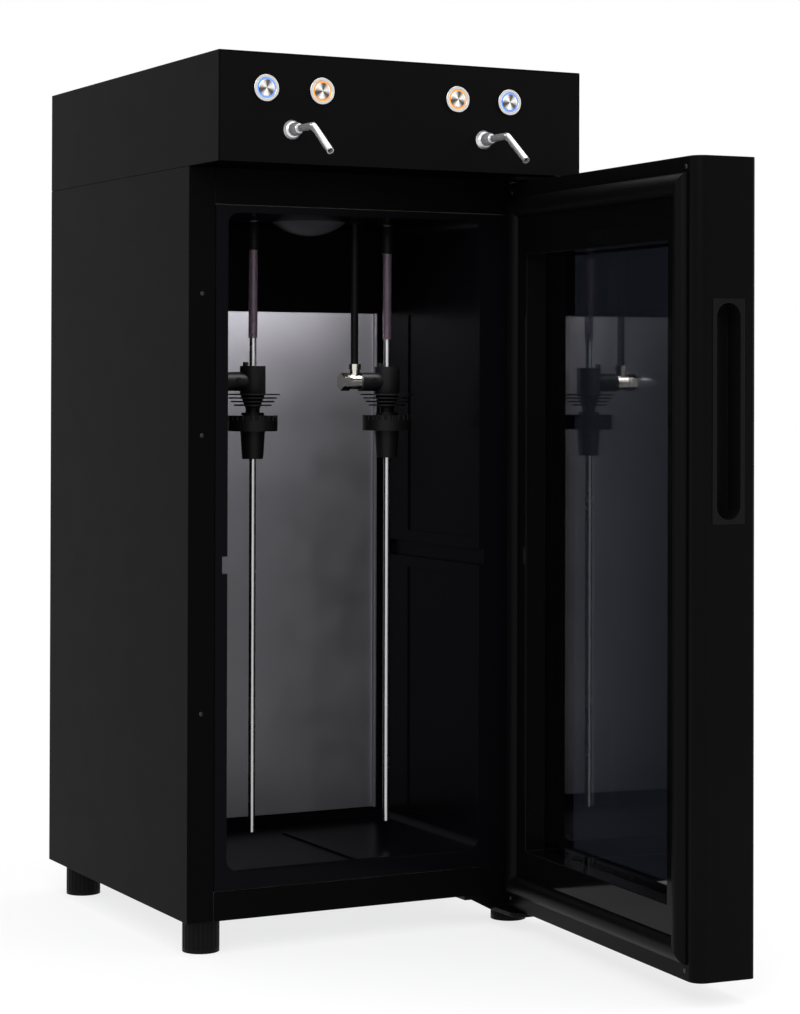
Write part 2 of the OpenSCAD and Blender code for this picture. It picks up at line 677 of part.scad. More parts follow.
// Cover of a spout's fitting: a low dome on the panel, a round collar and its tapered nose.
cover_rs = [6.8, 5.4];
cover_h = 2.4;
neck_rs = [4.6, 3.2];
neck_h = 8;
nose_h = 4;
module spout_flanges() place() color([0.85, 0.85, 0.86]) for (x = [-spout_far, spout_far])
  translate([mid_x + x, panel_y, spout_z]) rotate([90, 0, 0]) difference() {
    union() {
      cylinder(r1 = cover_rs[0], r2 = cover_rs[1], h = cover_h);
      cylinder(r = neck_rs[0], h = neck_h);
      translate([0, 0, neck_h]) cylinder(r1 = neck_rs[0], r2 = neck_rs[1], h = nose_h);
    }
    translate([0, 0, -1]) cylinder(r = spout_d / 2 + fit, h = neck_h + nose_h + 2);
  }

// ---------- wine and gas lines in the header ----------

valve_foot = [16, 14];
coil_r = 9;
coil_gap = 12;                           // space over a valve's coil
module solenoid(x, y) {
  z0 = header_z + sheet_t;
  z1 = spout_z - valve[2] / 2;
  z2 = spout_z + valve[2] / 2 - 8;
  block([x - valve[0] / 2, y, z1], [x + valve[0] / 2, y + valve[1], z2]);
  translate([x - valve_foot[0] / 2, y + (valve[1] - valve_foot[1]) / 2, z0])
    cube([valve_foot[0], valve_foot[1], z1 - z0]);
  rod_z(x, y + valve[1] / 2, z2, total_h - coil_gap, coil_r);
}
module solenoid_valves() place() color([0.20, 0.20, 0.22]) {
  for (x = [-spout_far, spout_far]) solenoid(mid_x + x, valve_y);
  for (x = [-gas_valve_x, gas_valve_x]) solenoid(mid_x + x, gas_valve_y);
}

fitting_l = 18;
module gas_inlet() place() color([0.75, 0.72, 0.62]) difference() {
  y0 = body_d - sheet_t;
  union() {
    rod_y(mid_x, y0 - fitting_l, y0, gas_z, gas_r + 3 - fit);
    rod_y(mid_x, y0, body_d, gas_z, gas_r + 3 - fit);
    translate([mid_x, body_d, gas_z]) rotate([-90, 0, 0]) cylinder(r = gas_r + 5, h = 5, $fn = 6);
    rod_y(mid_x, body_d, body_d + gas_proud, gas_z, gas_r + 2.4);
    translate([mid_x, y0, gas_z]) rotate([90, 0, 0]) cylinder(r = gas_r + 5, h = 4, $fn = 6);
  }
  rod_y(mid_x, body_d - 2, body_d + gas_proud + 1, gas_z, gas_r);
  rod_y(mid_x, y0 - fitting_l - 1, body_d, gas_z, gas_d / 2 - 1);
}

module gas_manifold() place() color([0.72, 0.73, 0.75]) {
  z0 = header_z + sheet_t;
  z1 = gas_z - manifold[2] / 2;
  leg_x = manifold[0] / 2 - manifold_in;
  translate([mid_x, manifold_y, z1 + manifold[2] / 2]) cube(manifold, center = true);
  for (x = [-leg_x, leg_x - manifold_leg[0]]) translate([mid_x + x, manifold_y - manifold_leg[1] / 2, z0])
    cube([manifold_leg[0], manifold_leg[1], z1 - z0]);
  rod_z(mid_x, manifold_y, z1 + manifold[2], total_h - coil_gap, coil_r + 1);
}

// Tubes inside the header: from the ceiling to the valves, and from the gas inlet to the gas valves.
tube_end = 4;                            // straight length where a tube meets a fitting
tube_up = 6;                             // straight length over the header's floor
bow_up = 20;                             // how strongly a tube keeps its direction, per kind of end
bow_wine = 22;
bow_gas = 26;
bow_port = 16;
port_x = 20;                             // distance of the manifold's ports from the middle
module header_tubes() place() color([0.30, 0.28, 0.30]) {
  low = ball_z + wine_d / 2 + tube_gap;
  up = [0, 0, bow_up];
  out = [0, tube_end, 0];
  for (i = [0, 1]) {
    s = 2 * i - 1;
    hx = head_places()[i];
    gx = hx - gas_off;
    a = [hx, head_y, header_z + tube_up];
    d = [mid_x + s * spout_far, valve_y + valve[1], spout_z];
    wine = bezier(a, a + up, d + out + [0, bow_wine, 0], d + out);
    sweep(concat([[hx, head_y, low]], wine, [d]), wine_d / 2);
    ga = [gx, head_y, header_z + tube_up];
    gd = [mid_x + s * gas_valve_x, gas_valve_y, spout_z];
    gas = bezier(ga, ga + up, gd - out - [0, bow_gas, 0], gd - out);
    sweep(concat([[gx, head_y, low]], gas, [gd]), gas_d / 2);
    ma = [mid_x + s * port_x, manifold_y - manifold[1] / 2, gas_z];
    md = [mid_x + s * gas_valve_x, gas_valve_y + valve[1], spout_z];
    port = [0, bow_port, 0];
    sweep(concat([ma], bezier(ma - out, ma - out - port, md + out + port, md + out, 8), [md]), gas_d / 2);
  }
  sweep([[mid_x, manifold_y + manifold[1] / 2, gas_z], [mid_x, body_d - sheet_t - fitting_l, gas_z]],
        gas_d / 2);
}

// ---------- ceiling ----------

lens_r = 27;
lens_h = 10;
module lamp_lens() place() color([0.80, 0.82, 0.80, 0.8]) {
  ball = (lens_r * lens_r + lens_h * lens_h) / (2 * lens_h);
  intersection() {
    translate([mid_x, lamp_y, ceiling_z - lens_h + ball]) sphere(r = ball);
    rod_z(mid_x, lamp_y, ceiling_z - lens_h, ceiling_z, lens_r);
  }
  rod_z(mid_x, lamp_y, ceiling_z, ceiling_z + liner_t + 5, lamp_stem - fit);
}

module tube_grommets() place() color([0.03, 0.03, 0.03]) for (x = tube_places()) difference() {
  union() {
    rod_z(x, head_y, ceiling_z - 1.5, ceiling_z, grommet_r);
    rod_z(x, head_y, ceiling_z, ceiling_z + liner_t + 1, grommet_neck);
  }
  rod_z(x, head_y, ceiling_z - 3, ceiling_z + liner_t + 2, wine_d / 2 + tube_gap);
}

// ---------- dispensing heads, hanging on their tubes ----------

module head_body(hx) place() color([0.05, 0.05, 0.05]) difference() {
  stem_z = collar_z + collar_h;
  top = head_z0 + head_h;
  union() {
    rod_z(hx, head_y, head_z0, top, head_d / 2);
    rod_x(hx - port_end, hx, head_y, port_z, port_d / 2);
    translate([hx, head_y, stem_z + 5]) cylinder(r1 = stem_d / 2, r2 = head_d / 2, h = head_z0 - stem_z - 5);
    rod_z(hx, head_y, stem_z, stem_z + 5, stem_d / 2);
    rod_z(hx, head_y, stem_z, stem_z + 2, stem_d / 2 + 3);
    for (i = [0 : len(fin_ds) - 1])
      rod_z(hx, head_y, head_z0 - 1.5 - i * fin_step, head_z0 - 1.5 + fin_t - i * fin_step, fin_ds[i] / 2);
    rod_z(hx - 6.6, head_y - 2, top, top + 2.8, 2);
    rod_y(hx - 14, head_y - port_d / 2 - 1, head_y, port_z + 1, 1.8);
  }
  rod_z(hx, head_y, stem_z - 1, top + 3, dip_d / 2 + fit);
}
module head_body_left() head_body(head_places()[0]);
module head_body_right() head_body(head_places()[1]);

// Collar on the bottle's mouth, its rim notched for grip, with the tapered bung under it.
bung_l = 20;
module bottle_collar(hx) place() color([0.06, 0.06, 0.06]) difference() {
  union() {
    rod_z(hx, head_y, collar_z, collar_z + collar_h, collar_d / 2);
    translate([hx, head_y, collar_z - bung_l]) cylinder(r1 = 7.6, r2 = 9, h = bung_l);
  }
  rod_z(hx, head_y, collar_z - bung_l - 1, collar_z + collar_h + 1, dip_d / 2 + fit);
  for (i = [0 : knurls - 1]) translate([hx, head_y, 0]) rotate([0, 0, i * 360 / knurls])
    rod_z(collar_d / 2 + 0.3, 0, collar_z + collar_h - 3.5, collar_z + collar_h + 1, 1);
}
module bottle_collar_left() bottle_collar(head_places()[0]);
module bottle_collar_right() bottle_collar(head_places()[1]);

module dip_tube(hx) place() color([0.78, 0.78, 0.79]) difference() {
  rod_z(hx, head_y, floor_z + dip_up, stub_top + 10, dip_d / 2);
  rod_z(hx, head_y, floor_z + dip_up - 1, stub_top + 11, dip_d / 2 - 0.7);
}
module dip_tube_left() dip_tube(head_places()[0]);
module dip_tube_right() dip_tube(head_places()[1]);

module wine_tube(hx) place() color([0.42, 0.30, 0.38]) difference() {
  union() {
    rod_z(hx, head_y, stub_top, ball_z, wine_d / 2);
    translate([hx, head_y, ball_z]) sphere(r = wine_d / 2);
  }
  rod_z(hx, head_y, stub_top - 1, ball_z + wine_d, dip_d / 2 + fit);
}
module wine_tube_left() wine_tube(head_places()[0]);
module wine_tube_right() wine_tube(head_places()[1]);

tube_seat = port_z + 6;
module gas_tube(hx) place() color([0.03, 0.03, 0.03]) {
  rod_z(hx - gas_off, head_y, tube_seat, ball_z, gas_d / 2);
  translate([hx - gas_off, head_y, ball_z]) sphere(r = gas_d / 2);
}
module gas_tube_left() gas_tube(head_places()[0]);
module gas_tube_right() gas_tube(head_places()[1]);

// Banjo fitting: the eye against the port, the hex bolt through it, the socket of the gas tube.
eye_l = 2 * (gas_off - port_end);
hex_r = 6.6;
hex_h = 7;
module gas_elbow(hx) place() color([0.74, 0.70, 0.62]) difference() {
  union() {
    rod_x(hx - port_end - eye_l, hx - port_end, head_y, port_z, 5.6);
    translate([hx - port_end - eye_l - hex_h, head_y, port_z]) rotate([0, 90, 0])
      cylinder(r = hex_r, h = hex_h, $fn = 6);
    rod_z(hx - gas_off, head_y, port_z, port_z + 9, 4);
    rod_z(hx - gas_off, head_y, port_z + 9, port_z + 13, 4.8);
  }
  rod_z(hx - gas_off, head_y, tube_seat, port_z + 14, gas_d / 2 + fit);
}
module gas_elbow_left() gas_elbow(head_places()[0]);
module gas_elbow_right() gas_elbow(head_places()[1]);

// ---------- hinges ----------

// Hinge plate with two round front corners, its top at z.
plate_r = 10;
module hinge_plate(z, t, y1) {
  r = plate_r;
  x0 = bracket_x;
  x1 = bracket_x1;
  block([x0 + r, bracket_y, z - t], [x1 - r, bracket_y + r, z]);
  block([x0, bracket_y + r, z - t], [x1, y1, z]);
  for (x = [x0 + r, x1 - r]) rod_z(x, bracket_y + r, z - t, z, r);
}

strap_x = 22;                            // how far the strap under the base reaches past the plate
strap_y = 38;
module hinge_bracket_lower() place() color([0.06, 0.06, 0.06]) {
  low = bracket_z - bracket_t;
  hinge_plate(bracket_z, bracket_t, bracket_t);
  translate([0, bracket_t, 0]) rotate([90, 0, 0]) linear_extrude(height = bracket_t) polygon([
    [bracket_x - strap_x, base_z], [bracket_x, low], [bracket_x1, low], [bracket_x1, base_z]
  ]);
  block([bracket_x - strap_x, 0, base_z - bracket_t],
        [half_w - foot_in_x - foot_d / 2 - 3, strap_y, base_z]);
  rod_z(hinge[0], hinge[1], low, door_z0 + bush_l - 1, pin_d / 2);
}

plate_top_t = 2.6;
module hinge_bracket_upper() place() color([0.06, 0.06, 0.06]) {
  hinge_plate(header_z, plate_top_t, -3);
  rod_z(hinge[0], hinge[1], door_z1 - bush_l + 1, header_z - plate_top_t, pin_d / 2);
}

module hinge_bushes() hung() color([0.88, 0.88, 0.84]) for (top = [0, 1]) {
  z = top ? door_z1 : door_z0;
  translate([hinge[0], hinge[1], z]) mirror([0, 0, top]) difference() {
    union() {
      cylinder(r = bush_r, h = bush_l);
      translate([0, 0, -bush_flange]) cylinder(r = bush_r + 2, h = bush_flange);
    }
    translate([0, 0, -1]) cylinder(r = pin_d / 2 + fit, h = bush_l + 2);
  }
}

// ---------- door, drawn closed and hung open ----------

// Slab in the door's plane, edges rounded along z: ri at the inner side, ro at the outer side.
module door_slab(ri, ro) {
  z = [door_z0, door_z1];
  block([door_x0, door_out + ro, z[0]], [door_x1, door_in - ri, z[1]]);
  block([door_x0 + ro, door_out, z[0]], [door_x1 - ro, door_out + ro, z[1]]);
  block([door_x0 + ri, door_in - ri, z[0]], [door_x1 - ri, door_in, z[1]]);
  for (x = [door_x0 + ro, door_x1 - ro]) rod_z(x, door_out + ro, z[0], z[1], ro);
  for (x = [door_x0 + ri, door_x1 - ri]) rod_z(x, door_in - ri, z[0], z[1], ri);
}

// Rectangle in the door's plane: side, bottom and top are the margins left of the door.
module door_field(side, bottom, top, y0, y1)
  block([door_x0 + side, y0, door_z0 + bottom], [door_x1 - side, y1, door_z1 - top]);

// The opening through the door, over both panes.
module door_window() door_field(window_side, window_bottom, window_top, door_out - 1, 0);

handle_y1 = door_in - handle_off;        // edge of the handle's plate nearest the inner face
handle_y0 = handle_y1 - handle_w;
module handle_cup()
  block([door_x0, handle_y0 + handle_lip - cup_wall, handle_z - handle_h / 2 + handle_lip - cup_wall],
        [door_x0 + handle_d + cup_wall, handle_y1 - handle_lip + cup_wall,
         handle_z + handle_h / 2 - handle_lip + cup_wall]);

module door_frame() hung() color([0.05, 0.05, 0.053]) difference() {
  door_slab(door_r_in, door_r_out);
  door_field(rim_w, rim_w, rim_w, outer_pane, 0);
  door_window();
  translate([-1, 0, 0]) handle_cup();
  handle_cup();
  rod_z(hinge[0], hinge[1], door_z0 - 1, door_z0 + bush_l, bush_r);
  rod_z(hinge[0], hinge[1], door_z1 - bush_l, door_z1 + 1, bush_r);
}

rebate = 2.5;
module door_liner() hung() color([0.07, 0.07, 0.075]) difference() {
  door_field(rim_w, rim_w, rim_w, outer_pane + glass_t + pane_edge, door_in);
  door_window();
  door_field(rim_w + rebate, rim_w + rebate, rim_w + rebate, door_out, inner_pane);
}

module outer_glass() hung() color([0.08, 0.09, 0.11, 0.6])
  door_field(rim_w + pane_edge, rim_w + pane_edge, rim_w + pane_edge, outer_pane, outer_pane + glass_t);

module inner_glass() hung() color([0.10, 0.12, 0.14, 0.5]) {
  edge = rim_w + rebate + pane_edge;
  door_field(edge, edge, edge, inner_pane - glass_t, inner_pane);
}

// Square ring in the door's plane between two margins.
module door_ring(out, inn, y0, y1) difference() {
  door_field(out, out, out, y0, y1);
  door_field(inn, inn, inn, y0 - 1, y1 + 1);
}

// Gasket: a flat foot and the narrower sealing bead on it.
bead_in = 4.2;                           // how far the bead lies inside the foot's edges
foot_t = 4;
module door_gasket() hung() color([0.09, 0.09, 0.09]) {
  inn = gasket_in + gasket_w;
  door_ring(gasket_in, inn, door_in, door_in + foot_t);
  door_ring(gasket_in + bead_in, inn - bead_in, door_in + foot_t, -seat);
}

module handle_insert() hung() color([0.08, 0.08, 0.085]) difference() {
  union() {
    handle_cup();
    block([door_x0 - handle_proud, handle_y0, handle_z - handle_h / 2],
          [door_x0, handle_y1, handle_z + handle_h / 2]);
  }
  slab_x([door_x0 - 1, handle_y0 + handle_lip, handle_z - handle_h / 2 + handle_lip],
         [door_x0 + handle_d, handle_y1 - handle_lip, handle_z + handle_h / 2 - handle_lip],
         handle_w / 2 - handle_lip - 0.1);
}

// ---------- feet ----------

module foot(i) place() color([0.05, 0.05, 0.05]) translate(concat(foot_places()[i], [0])) {
  h = foot_h - seat;
  difference() {
    cylinder(r = foot_d / 2, h = h);
    for (k = [0 : knurls - 1]) rotate([0, 0, k * 360 / knurls])
      translate([foot_d / 2 + 0.3, 0, 3]) cylinder(r = 0.9, h = h, $fn = 16);
  }
  translate([0, 0, h]) cylinder(r = stud_r, h = stud_l);
}
module foot_front_left() foot(0);
module foot_front_right() foot(1);
module foot_rear_left() foot(2);
module foot_rear_right() foot(3);

side_panel_left();
side_panel_right();
back_panel();
base_plate();
bottom_rail();
top_rail();
cavity_liner();
foam_insulation();
cold_plate();
cold_block();
peltier_module();
heat_sink();
fan_frame();
fan_rotor();
power_supply();
power_inlet();
power_switch();
control_board();
header_shell();
header_floor();
control_panel();
button_housings();
button_led_rings();
button_cap_1();
button_cap_2();
button_cap_3();
button_cap_4();
spouts();
spout_flanges();
solenoid_valves();
gas_inlet();
gas_manifold();
header_tubes();
lamp_lens();
tube_grommets();
head_body_left();
head_body_right();
bottle_collar_left();
bottle_collar_right();
dip_tube_left();
dip_tube_right();
wine_tube_left();
wine_tube_right();
gas_tube_left();
gas_tube_right();
gas_elbow_left();
gas_elbow_right();
hinge_bracket_lower();
hinge_bracket_upper();
hinge_bushes();
door_frame();
door_liner();
outer_glass();
inner_glass();
door_gasket();
handle_insert();
foot_front_left();
foot_front_right();
foot_rear_left();
foot_rear_right();
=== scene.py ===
"""Looks of the wine preservation dispenser: materials, small trim, light and camera."""
import math

import bmesh
import bpy
from mathutils import Matrix, Vector


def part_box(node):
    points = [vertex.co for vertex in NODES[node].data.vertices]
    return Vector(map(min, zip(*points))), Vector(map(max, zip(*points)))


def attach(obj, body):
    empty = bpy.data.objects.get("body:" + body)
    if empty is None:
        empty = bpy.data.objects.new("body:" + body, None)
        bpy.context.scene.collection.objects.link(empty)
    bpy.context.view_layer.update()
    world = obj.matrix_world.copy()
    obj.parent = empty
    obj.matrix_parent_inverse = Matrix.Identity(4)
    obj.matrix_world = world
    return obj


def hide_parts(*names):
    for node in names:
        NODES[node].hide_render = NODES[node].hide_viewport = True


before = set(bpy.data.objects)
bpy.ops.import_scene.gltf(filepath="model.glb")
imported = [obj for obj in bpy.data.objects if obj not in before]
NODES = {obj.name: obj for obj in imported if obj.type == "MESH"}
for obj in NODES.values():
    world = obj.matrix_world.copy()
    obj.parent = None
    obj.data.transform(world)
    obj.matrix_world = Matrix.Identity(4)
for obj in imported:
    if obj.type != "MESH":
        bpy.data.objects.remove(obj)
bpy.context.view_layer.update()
MM = 0.001

# ---------- places, in the cabinet's millimetres: x 0 its middle, y 0 its front, z 0 the table ----------

shell_lo, shell_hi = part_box("header_shell")
rail_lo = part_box("bottom_rail")[0]
ORIGIN = Vector(((shell_lo.x + shell_hi.x) / 2, rail_lo.y, 0.0))
BODY_D = 276.0                              # depth of the cabinet
MID_X = -12.4                               # middle of the controls and of the bottle space
HEAD_XS = (MID_X - 54.5, MID_X + 54.5)      # hanging axes of the two heads
HEAD_Y = 59.0
HINGE = (121.4, -22.5)                      # axis of the door's pins
DOOR_OPEN = math.radians(86)                # from closed to the photographed pose
DOOR_X, DOOR_Z = (-139.0, 139.0), (15.5, 541.0)
DOOR_IN = -6.0                              # inner face of the closed door


def at(x, y, z):
    """A point of the cabinet, in metres in the model's frame."""
    return ORIGIN + Vector((x, y, z)) * MM


# CABINET takes points in the cabinet's millimetres to the model's frame, DOOR those of the closed door.
CABINET = Matrix.Translation(ORIGIN) @ Matrix.Scale(MM, 4)
SWUNG = (
    Matrix.Translation((HINGE[0], HINGE[1], 0))
    @ Matrix.Rotation(DOOR_OPEN, 4, "Z")
    @ Matrix.Translation((-HINGE[0], -HINGE[1], 0))
)
DOOR = CABINET @ SWUNG

# ---------- names of nodes that repeat ----------

SIDES = ("left", "right")


def both(stem):
    """The left and the right node of a pair."""
    return tuple(f"{stem}_{side}" for side in SIDES)


CAPS = tuple(f"button_cap_{i + 1}" for i in range(4))
FEET = both("foot_front") + both("foot_rear")

# ---------- camera, at the photograph's viewing angle ----------

YAW, PITCH, ROLL = 0.48162, 0.00798, 0.00272                # in radians
FOCAL_PX, SHIFT_PX, LONG_SIDE_PX = 2594.63, -143.0, 1014    # in the photograph's pixels
CAMERA_PLACE = (-840.49, -1650.45, 394.48)


def camera_axes():
    """Right, up and backward of the camera."""
    forward = Vector((math.sin(YAW) * math.cos(PITCH), math.cos(YAW) * math.cos(PITCH), math.sin(PITCH)))
    level_right = Vector((math.cos(YAW), -math.sin(YAW), 0))
    level_up = level_right.cross(forward)
    right = math.cos(ROLL) * level_right + math.sin(ROLL) * level_up
    up = -math.sin(ROLL) * level_right + math.cos(ROLL) * level_up
    return right, up, -forward


lens = bpy.data.cameras.new("camera")
lens.sensor_width = 36.0
lens.lens = FOCAL_PX * lens.sensor_width / LONG_SIDE_PX
lens.shift_y = SHIFT_PX / LONG_SIDE_PX
lens.clip_start = 0.05
lens.clip_end = 60.0
camera = bpy.data.objects.new("camera", lens)
bpy.context.scene.collection.objects.link(camera)
camera.matrix_world = Matrix.Translation(at(*CAMERA_PLACE)) @ Matrix(camera_axes()).transposed().to_4x4()
bpy.context.scene.camera = camera
bpy.context.scene.view_settings.view_transform = "Standard"

# ---------- shader helpers ----------


def maths(tree, operation, *values):
    """Math node of a tree on outputs and numbers."""
    node = tree.nodes.new("ShaderNodeMath")
    node.operation = operation
    for socket, value in zip(node.inputs, values):
        if isinstance(value, float):
            socket.default_value = value
        else:
            tree.links.new(value, socket)
    return node.outputs["Value"]


def mixed(tree, factor, first, second):
    """Mix of two shaders' outputs."""
    mix = tree.nodes.new("ShaderNodeMixShader")
    for socket, output in zip(mix.inputs, (factor, first, second)):
        tree.links.new(output, socket)
    return mix.outputs["Shader"]


def plain_rays(tree):
    """1 for camera, mirrored and refracted rays, which all see the plain white background."""
    path = tree.nodes.new("ShaderNodeLightPath").outputs
    direct = maths(tree, "MAXIMUM", path["Is Camera Ray"], path["Is Glossy Ray"])
    return maths(tree, "MAXIMUM", direct, path["Is Transmission Ray"])


class Surface:
    """A procedural material round one Principled shader, with coordinates in metres."""

    def __init__(self, name, base, rough, **sockets):
        self.material = bpy.data.materials.new(name)
        self.material.use_nodes = True
        self.tree = self.material.node_tree
        self.shader = self.tree.nodes["Principled BSDF"]
        self.coords = self.tree.nodes.new("ShaderNodeTexCoord").outputs["Object"]
        self.shader.inputs["Base Color"].default_value = (*base, 1)
        self.shader.inputs["Roughness"].default_value = rough
        for socket, value in sockets.items():
            self.shader.inputs[socket.replace("_", " ")].default_value = value
        self.base = base
        self.rough = rough
        self.normal = None

    def link(self, output, socket):
        """Links an output to a socket of the Principled shader."""
        self.tree.links.new(output, self.shader.inputs[socket])

    def node(self, kind, **settings):
        node = self.tree.nodes.new("ShaderNode" + kind)
        for key, value in settings.items():
            setattr(node, key, value)
        return node

    def split(self, vector):
        """The X, Y and Z outputs of a vector."""
        parts = self.node("SeparateXYZ")
        self.tree.links.new(vector, parts.inputs["Vector"])
        return parts.outputs

    def stretched(self, scale):
        """The coordinates, scaled by axis."""
        mapping = self.node("Mapping")
        mapping.inputs["Scale"].default_value = scale
        self.tree.links.new(self.coords, mapping.inputs["Vector"])
        return mapping.outputs["Vector"]

    def noise(self, scale, detail=3.0, stretch=None):
        noise = self.node("TexNoise")
        noise.inputs["Scale"].default_value = scale
        noise.inputs["Detail"].default_value = detail
        vector = self.stretched(stretch) if stretch else self.coords
        self.tree.links.new(vector, noise.inputs["Vector"])
        return noise.outputs["Fac"]

    def remap(self, value, low, high, start=0.3, end=0.7):
        """Low to high, as the value goes from start to end."""
        span = self.node("MapRange")
        for key, number in (("From Min", start), ("From Max", end), ("To Min", low), ("To Max", high)):
            span.inputs[key].default_value = number
        self.tree.links.new(value, span.inputs["Value"])
        return span.outputs["Result"]

    def blend(self, factor, first, second, socket="Base Color"):
        """Links a mix of two colours."""
        mix = self.node("Mix", data_type="RGBA")
        self.tree.links.new(factor, mix.inputs["Factor"])
        mix.inputs["A"].default_value = (*first, 1)
        mix.inputs["B"].default_value = (*second, 1)
        self.link(mix.outputs["Result"], socket)
        return self

    def cloudy(self, scale, spread, rough_spread):
        """Slow variation of colour, by a share, and of roughness."""
        darker = [c * (1 - spread) for c in self.base]
        lighter = [c * (1 + spread) for c in self.base]
        self.blend(self.remap(self.noise(scale, detail=4.0), 0.0, 1.0), darker, lighter)
        finer = self.noise(scale * 5, detail=5.0)
        self.link(self.remap(finer, self.rough - rough_spread, self.rough + rough_spread), "Roughness")
        return self

    def bump(self, value, depth, strength):
        """Adds relief of that depth in metres over what is there."""
        bump = self.node("Bump")
        bump.inputs["Strength"].default_value = strength
        bump.inputs["Distance"].default_value = depth
        self.tree.links.new(value, bump.inputs["Height"])
        if self.normal:
            self.tree.links.new(self.normal, bump.inputs["Normal"])
        self.normal = bump.outputs["Normal"]
        self.link(self.normal, "Normal")
        return self


def powder_coat(name, base, rough, spec=0.018):
    """Powder coat: fine orange-peel grain, with slow variation of colour and gloss."""
    coat = Surface(name, base, rough, Specular_IOR_Level=spec).cloudy(7.0, 0.12, 0.012)
    coat.bump(coat.noise(2200.0, detail=2.0), depth=0.00004, strength=0.35)
    coat.bump(coat.noise(420.0, detail=2.0), depth=0.00005, strength=0.18)
    return coat


def moulded(name, base, rough, spec=0.06, grain=1400.0, depth=0.00005):
    """Moulded plastic or rubber with a fine grain."""
    plastic = Surface(name, base, rough, Specular_IOR_Level=spec)
    plastic.cloudy(14.0, 0.15, min(0.04, rough * 0.3))
    return plastic.bump(plastic.noise(grain), depth, strength=0.5)


def drawn_metal(name, base, rough, stretch, scale=300.0, depth=0.00002):
    """Metal with fine lines along the axis that stretch keeps small, or an even grain."""
    metal = Surface(name, base, rough, Metallic=1.0).cloudy(12.0, 0.08, 0.05)
    return metal.bump(metal.noise(scale, stretch=stretch), depth, strength=0.6)


# ---------- materials ----------

BLACK = (0.0017, 0.0017, 0.0019)
paint = powder_coat("cabinet_paint", BLACK, 0.44)
fascia = powder_coat("fascia_paint", (0.0022, 0.0022, 0.0025), 0.33, spec=0.03)
back_paint = powder_coat("back_paint", (0.005, 0.005, 0.0055), 0.5)
hinge_paint = powder_coat("hinge_paint", BLACK, 0.32, spec=0.06)
door_black = powder_coat("door_skin", (0.002, 0.002, 0.0022), 0.26, spec=0.03)

door_inner = moulded("door_lining", (0.0018, 0.0018, 0.002), 0.07, depth=0.000004)
handle_black = moulded("handle_plastic", (0.0035, 0.0035, 0.0038), 0.3, grain=1100.0, depth=0.00004)
head_black = moulded("head_plastic", (0.004, 0.004, 0.004), 0.4, spec=0.1, grain=1600.0, depth=0.00004)
rubber = moulded("rubber", (0.002, 0.002, 0.0022), 0.4, spec=0.04, grain=1800.0, depth=0.00002)
hose_black = moulded("hose_black", (0.004, 0.004, 0.004), 0.35)
foot_black = moulded("foot_plastic", (0.004, 0.004, 0.004), 0.45)
valve_black = moulded("valve_plastic", (0.05, 0.05, 0.055), 0.5)
fan_black = moulded("fan_plastic", (0.008, 0.008, 0.008), 0.45)
inlet_black = moulded("inlet_plastic", (0.008, 0.008, 0.008), 0.42)
rocker_black = moulded("rocker_plastic", (0.02, 0.02, 0.021), 0.2, spec=0.5, grain=2400.0, depth=0.00001)
board_green = moulded("board_lacquer", (0.012, 0.11, 0.05), 0.3)
nylon = moulded("nylon", (0.75, 0.75, 0.70), 0.45)
ceramic = moulded("ceramic", (0.8, 0.8, 0.78), 0.6)
foam = moulded("foam", (0.78, 0.72, 0.55), 0.9, spec=0.2, grain=700.0, depth=0.0004)

UPRIGHT = (1.0, 1.0, 0.03)      # stretch of noise into lines along z
steel = drawn_metal("button_steel", (0.68, 0.67, 0.65), 0.13, (1.0, 1.0, 1.0), depth=0.000004)
dip_steel = drawn_metal("dip_steel", (0.5, 0.5, 0.51), 0.24, UPRIGHT, scale=900.0)
sink_metal = drawn_metal("sink_metal", (0.55, 0.55, 0.57), 0.35, (1.0, 1.0, 0.05))
supply_case = drawn_metal("supply_case", (0.55, 0.55, 0.56), 0.4, (0.04, 1.0, 1.0))

zinc = Surface("zinc_sheet", (0.42, 0.43, 0.44), 0.38, Metallic=1.0).cloudy(40.0, 0.2, 0.1)
zinc.bump(zinc.noise(600.0), depth=0.00002, strength=0.4)
plate = Surface("satin_plate", (0.22, 0.215, 0.235), 0.5, Metallic=1.0).cloudy(5.0, 0.1, 0.05)
plate.bump(plate.noise(500.0, stretch=UPRIGHT), depth=0.00002, strength=0.5)
chrome = Surface("spout_chrome", (0.80, 0.80, 0.82), 0.16, Metallic=0.82).cloudy(60.0, 0.05, 0.03)
chrome.bump(chrome.noise(260.0, detail=2.0), depth=0.00002, strength=0.15)
nickel = Surface("fitting_nickel", (0.66, 0.63, 0.58), 0.15, Metallic=1.0).cloudy(90.0, 0.12, 0.06)
nickel.bump(nickel.noise(900.0, detail=2.0), depth=0.00002, strength=0.3)
screw_black = Surface("screw_black", (0.03, 0.03, 0.031), 0.3, Metallic=0.8).cloudy(300.0, 0.2, 0.1)

liner = Surface("liner_plastic", (0.0022, 0.0022, 0.003), 0.24, Specular_IOR_Level=0.03)
liner.cloudy(6.0, 0.12, 0.015)
liner.bump(liner.noise(40.0, detail=2.0), depth=0.00006, strength=0.06)
liner.bump(liner.noise(1200.0, detail=2.0), depth=0.00002, strength=0.2)
wine = Surface("wine", (0.05, 0.016, 0.035), 0.25, Specular_IOR_Level=0.3).cloudy(30.0, 0.25, 0.04)
tube_clear = Surface("tube_clear", (0.34, 0.25, 0.33), 0.2, Transmission_Weight=0.82, IOR=1.42)
tube_clear.cloudy(40.0, 0.06, 0.06)
lens_smoke = Surface("lamp_lens", (0.045, 0.045, 0.05), 0.35, Transmission_Weight=0.3, IOR=1.46)
lens_smoke.cloudy(50.0, 0.1, 0.05)
lens_smoke.bump(lens_smoke.noise(500.0, detail=2.0), depth=0.00008, strength=0.5)

